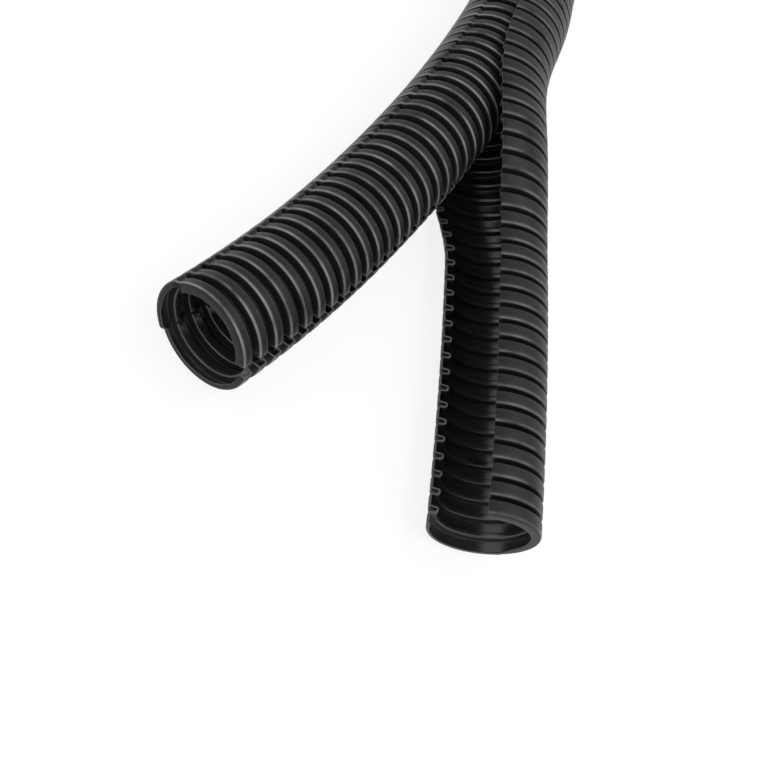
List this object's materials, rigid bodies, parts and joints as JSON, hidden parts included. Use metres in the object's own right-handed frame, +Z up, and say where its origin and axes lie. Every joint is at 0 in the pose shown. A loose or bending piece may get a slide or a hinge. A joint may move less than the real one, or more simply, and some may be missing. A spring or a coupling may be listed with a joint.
{
  "type": "corrugated conduit",
  "caption": "Cut length of two-shell divisible corrugated cable conduit, closed along most of its length and peeled apart at one end.",
  "frame": {"origin": "centre of the joined end, on the conduit's axis", "axes": "+Y along the joined axis, out of the joined end; the opened end points to -Y; +Z up"},
  "size_m": [0.1361, 0.9961, 0.0444],
  "materials": {
    "inner_shell": "satin black extruded polypropylene",
    "outer_shell": "satin black extruded polypropylene"
  },
  "bodies": {
    "root": {"inner_conduit": "inner_shell", "outer_conduit": "outer_shell"}
  },
  "joints": []
}
